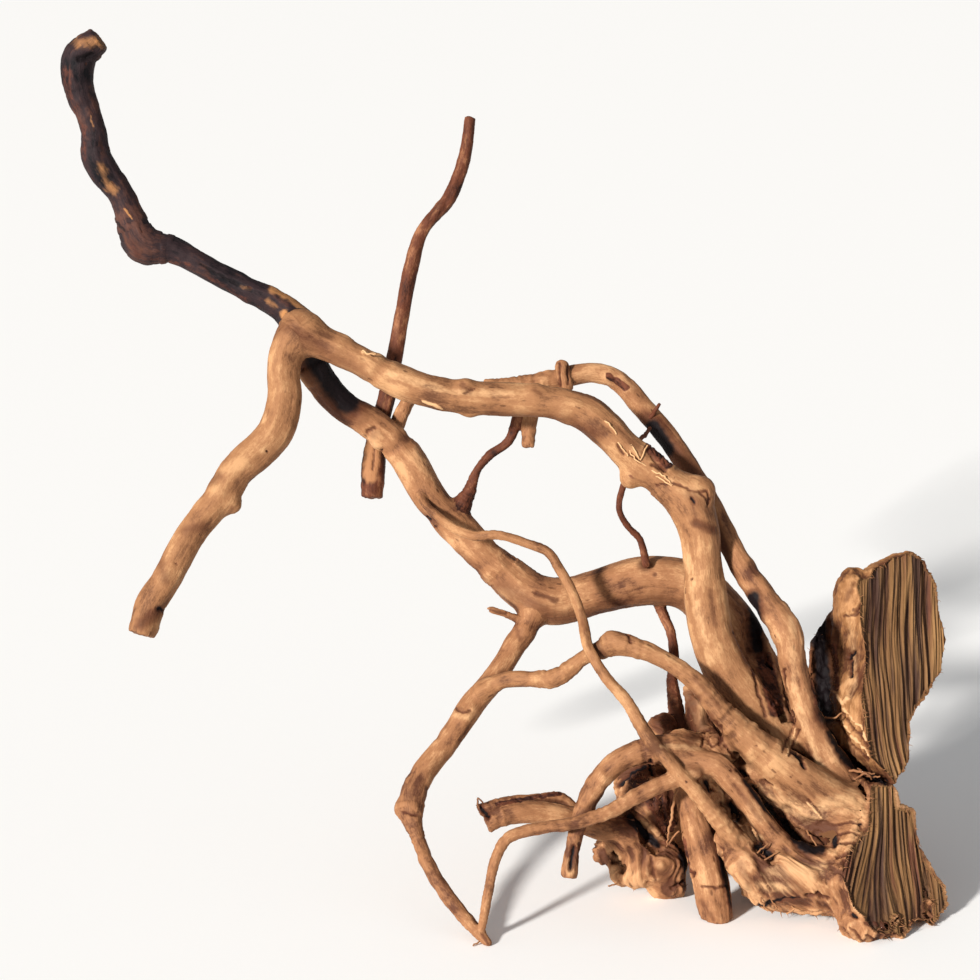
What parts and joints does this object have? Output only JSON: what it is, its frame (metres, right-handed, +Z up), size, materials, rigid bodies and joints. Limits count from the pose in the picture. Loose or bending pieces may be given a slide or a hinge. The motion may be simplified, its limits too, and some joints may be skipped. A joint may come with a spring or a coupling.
{
  "type": "aquarium driftwood",
  "caption": "Knotty driftwood for an aquarium: a sawn root burl that stands on its roots, with bare limbs, a dark hooked branch and thin roots.",
  "frame": {"origin": "on the surface that the wood stands on, below the middle of its bounding box", "axes": "+Z up; +X towards the sawn stump; -Y towards the side that the picture shows"},
  "size_m": [0.5335, 0.2505, 0.5059],
  "materials": {
    "bare_wood": "dry bare root wood, matte, with fine grain and dark pits",
    "pale_wood": "scraped pale wood, matte, with shallow knots",
    "dark_wood": "stained wood with remains of bark, matte",
    "dark_bark": "thin dark bark over brown wood, rough",
    "sawn_wood": "rough sawn across ridged grain, stained, matte"
  },
  "bodies": {
    "root": {"root_burl": "bare_wood", "stump_slab": "sawn_wood", "main_limb": "pale_wood", "left_branch": "pale_wood", "lower_limb": "bare_wood", "hooked_branch": "dark_bark", "side_stick": "dark_wood", "back_limb": "bare_wood", "arch_root": "pale_wood", "down_root": "bare_wood", "bent_root": "bare_wood", "broken_root": "bare_wood", "cut_root": "bare_wood", "forked_root": "bare_wood", "front_root": "bare_wood", "thin_root": "pale_wood", "wavy_root": "dark_wood", "hanging_root": "dark_wood", "link_root": "dark_wood", "rear_root": "bare_wood"}
  },
  "joints": []
}
